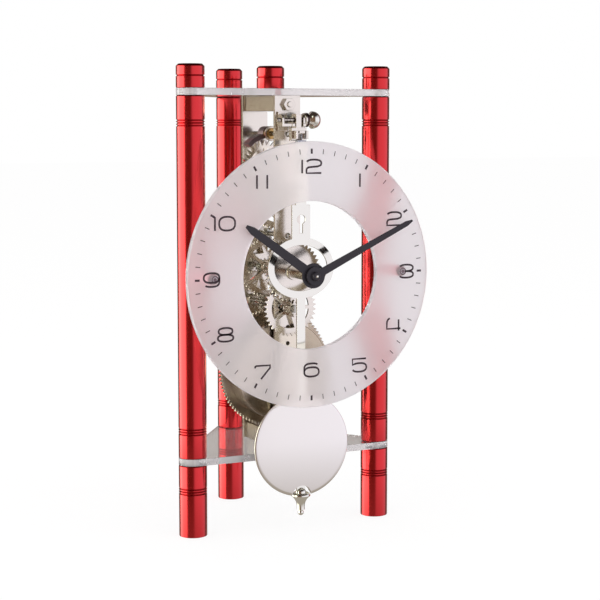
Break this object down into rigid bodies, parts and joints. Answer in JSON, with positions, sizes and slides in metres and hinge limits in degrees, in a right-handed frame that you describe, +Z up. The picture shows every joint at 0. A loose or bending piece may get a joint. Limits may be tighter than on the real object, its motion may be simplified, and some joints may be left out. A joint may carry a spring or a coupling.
{
  "type": "desk pendulum clock",
  "caption": "Desk pendulum clock: open gear movement on thin strips between round red columns and clear plates, ring dial in front, hands at the middle and a round bob below.",
  "frame": {"origin": "on the table, under the middle of the bounding box", "axes": "+X to the right seen from the front, +Y to the back, +Z up; the dial faces -Y"},
  "size_m": [0.112, 0.0954, 0.2],
  "materials": {
    "anodised_red": "turned aluminium, bright red anodised, glossy",
    "clear_acrylic": "clear polished acrylic with flame-polished edges",
    "frosted_acrylic": "acrylic frosted by fine blasting",
    "nickel_plate": "nickel plated brass, satin to bright",
    "polished_nickel": "nickel plated brass, mirror polished",
    "arbor_steel": "turned and hardened steel",
    "blackened_steel": "oil-blackened steel",
    "spring_steel": "blued rolled spring steel",
    "brass": "turned brass",
    "anthracite_lacquer": "sheet metal with satin anthracite lacquer"
  },
  "bodies": {
    "stand": {"column_base_left": "anodised_red", "column_base_right": "anodised_red", "column_base_rear": "anodised_red", "column_left": "anodised_red", "column_right": "anodised_red", "column_rear": "anodised_red", "column_cap_left": "anodised_red", "column_cap_right": "anodised_red", "column_cap_rear": "anodised_red", "movement_knob": "anodised_red", "dial_standoffs": "anodised_red", "top_plate": "clear_acrylic", "lower_plate": "clear_acrylic", "dial": "frosted_acrylic", "front_strip": "nickel_plate", "rear_strip": "nickel_plate", "top_crossbar": "nickel_plate", "bottom_crossbar": "nickel_plate", "suspension_bracket": "nickel_plate", "frame_nuts": "nickel_plate", "minute_stud": "arbor_steel", "column_studs": "arbor_steel", "foot_screw": "arbor_steel", "bracket_screw": "arbor_steel", "click_screw": "arbor_steel", "dial_screws": "blackened_steel", "click_spring": "spring_steel"},
    "center_group": {"center_arbor": "arbor_steel", "center_wheel": "nickel_plate", "cannon_pinion": "arbor_steel", "minute_hand": "anthracite_lacquer", "hand_nut": "brass"},
    "hour_group": {"hour_wheel": "nickel_plate", "hour_hand": "anthracite_lacquer"},
    "minute_wheel_group": {"minute_wheel": "nickel_plate"},
    "barrel_group": {"barrel_drum": "nickel_plate", "barrel_cover": "nickel_plate", "great_wheel": "nickel_plate", "mainspring": "spring_steel"},
    "second_group": {"second_arbor": "arbor_steel", "second_wheel": "nickel_plate"},
    "third_group": {"third_arbor": "arbor_steel", "third_wheel": "nickel_plate"},
    "fourth_group": {"fourth_arbor": "arbor_steel", "fourth_wheel": "nickel_plate"},
    "escape_group": {"escape_arbor": "arbor_steel", "escape_wheel": "nickel_plate"},
    "winding_group": {"barrel_arbor": "arbor_steel", "ratchet_wheel": "arbor_steel"},
    "click_group": {"click": "blackened_steel"},
    "anchor_group": {"anchor": "blackened_steel", "anchor_arbor": "arbor_steel", "anchor_collet": "brass", "crutch": "arbor_steel"},
    "pendulum": {"suspension_spring": "spring_steel", "pendulum_rod": "polished_nickel"},
    "bob": {"pendulum_bob": "polished_nickel"},
    "rating_nut_group": {"rating_nut": "polished_nickel"},
    "yoke": {"suspension_yoke": "nickel_plate"},
    "beat_screw_group": {"beat_screw": "nickel_plate"}
  },
  "joints": [
    {"name": "minute_turn", "type": "hinge", "parent": "stand", "child": "center_group", "pos_m": [0, -0.0177, 0.1119], "axis": [0, 1, 0], "continuous": true},
    {"name": "hour_turn", "type": "hinge", "parent": "stand", "child": "hour_group", "pos_m": [0, -0.0177, 0.1119], "axis": [0, 1, 0], "continuous": true},
    {"name": "minute_wheel_turn", "type": "hinge", "parent": "stand", "child": "minute_wheel_group", "pos_m": [0, -0.0177, 0.09618], "axis": [0, 1, 0], "continuous": true},
    {"name": "second_wheel_turn", "type": "hinge", "parent": "stand", "child": "second_group", "pos_m": [-0.004, -0.0177, 0.09718], "axis": [0, 1, 0], "continuous": true},
    {"name": "barrel_turn", "type": "hinge", "parent": "stand", "child": "barrel_group", "pos_m": [0, -0.0177, 0.0683], "axis": [0, 1, 0], "continuous": true},
    {"name": "third_wheel_turn", "type": "hinge", "parent": "stand", "child": "third_group", "pos_m": [0, -0.0177, 0.12702], "axis": [0, 1, 0], "continuous": true},
    {"name": "fourth_wheel_turn", "type": "hinge", "parent": "stand", "child": "fourth_group", "pos_m": [0, -0.0177, 0.14197], "axis": [0, 1, 0], "continuous": true},
    {"name": "escape_wheel_turn", "type": "hinge", "parent": "stand", "child": "escape_group", "pos_m": [0, -0.0177, 0.15667], "axis": [0, 1, 0], "continuous": true},
    {"name": "winding_turn", "type": "hinge", "parent": "stand", "child": "winding_group", "pos_m": [0, -0.0177, 0.0683], "axis": [0, 1, 0], "continuous": true},
    {"name": "click_lift", "type": "hinge", "parent": "stand", "child": "click_group", "pos_m": [0.003, -0.0177, 0.0806], "axis": [0, 1, 0], "range_deg": [0, 14], "stiffness_Nm_per_rad": 0.0002, "springref_deg": -5.73},
    {"name": "pendulum_swing", "type": "hinge", "parent": "stand", "child": "pendulum", "pos_m": [0, -0.0177, 0.1708], "axis": [0, 1, 0], "range_deg": [-3, 3]},
    {"name": "anchor_rock", "type": "hinge", "parent": "stand", "child": "anchor_group", "pos_m": [0, -0.0177, 0.1708], "axis": [0, 1, 0], "range_deg": [-3, 3]},
    {"name": "rating_turn", "type": "hinge", "parent": "bob", "child": "rating_nut_group", "pos_m": [0, -0.0324, 0.038], "axis": [0, 0, 1], "range_deg": [-360, 360]},
    {"name": "bob_slide", "type": "slide", "parent": "pendulum", "child": "bob", "axis": [0, 0, 1], "range_m": [-0.0005, 0.0005]},
    {"name": "beat_turn", "type": "hinge", "parent": "stand", "child": "beat_screw_group", "pos_m": [0, -0.0317, 0.1767], "axis": [1, 0, 0], "range_deg": [-300, 300]},
    {"name": "yoke_tilt", "type": "hinge", "parent": "stand", "child": "yoke", "pos_m": [0, -0.0177, 0.1708], "axis": [0, 1, 0], "range_deg": [-4.05, 4.05]}
  ],
  "couplings": [
    {"joint": "hour_turn", "follows": "minute_turn", "ratio": 0.083333},
    {"joint": "minute_wheel_turn", "follows": "minute_turn", "ratio": -0.33333},
    {"joint": "second_wheel_turn", "follows": "minute_turn", "ratio": -0.2},
    {"joint": "barrel_turn", "follows": "minute_turn", "ratio": 0.025},
    {"joint": "third_wheel_turn", "follows": "minute_turn", "ratio": -6},
    {"joint": "fourth_wheel_turn", "follows": "minute_turn", "ratio": 33},
    {"joint": "escape_wheel_turn", "follows": "minute_turn", "ratio": -169.12},
    {"joint": "anchor_rock", "follows": "pendulum_swing", "ratio": 1},
    {"joint": "rating_turn", "follows": "bob_slide", "rad_per_m": 12566},
    {"joint": "yoke_tilt", "follows": "beat_turn", "ratio": 0.013488}
  ]
}
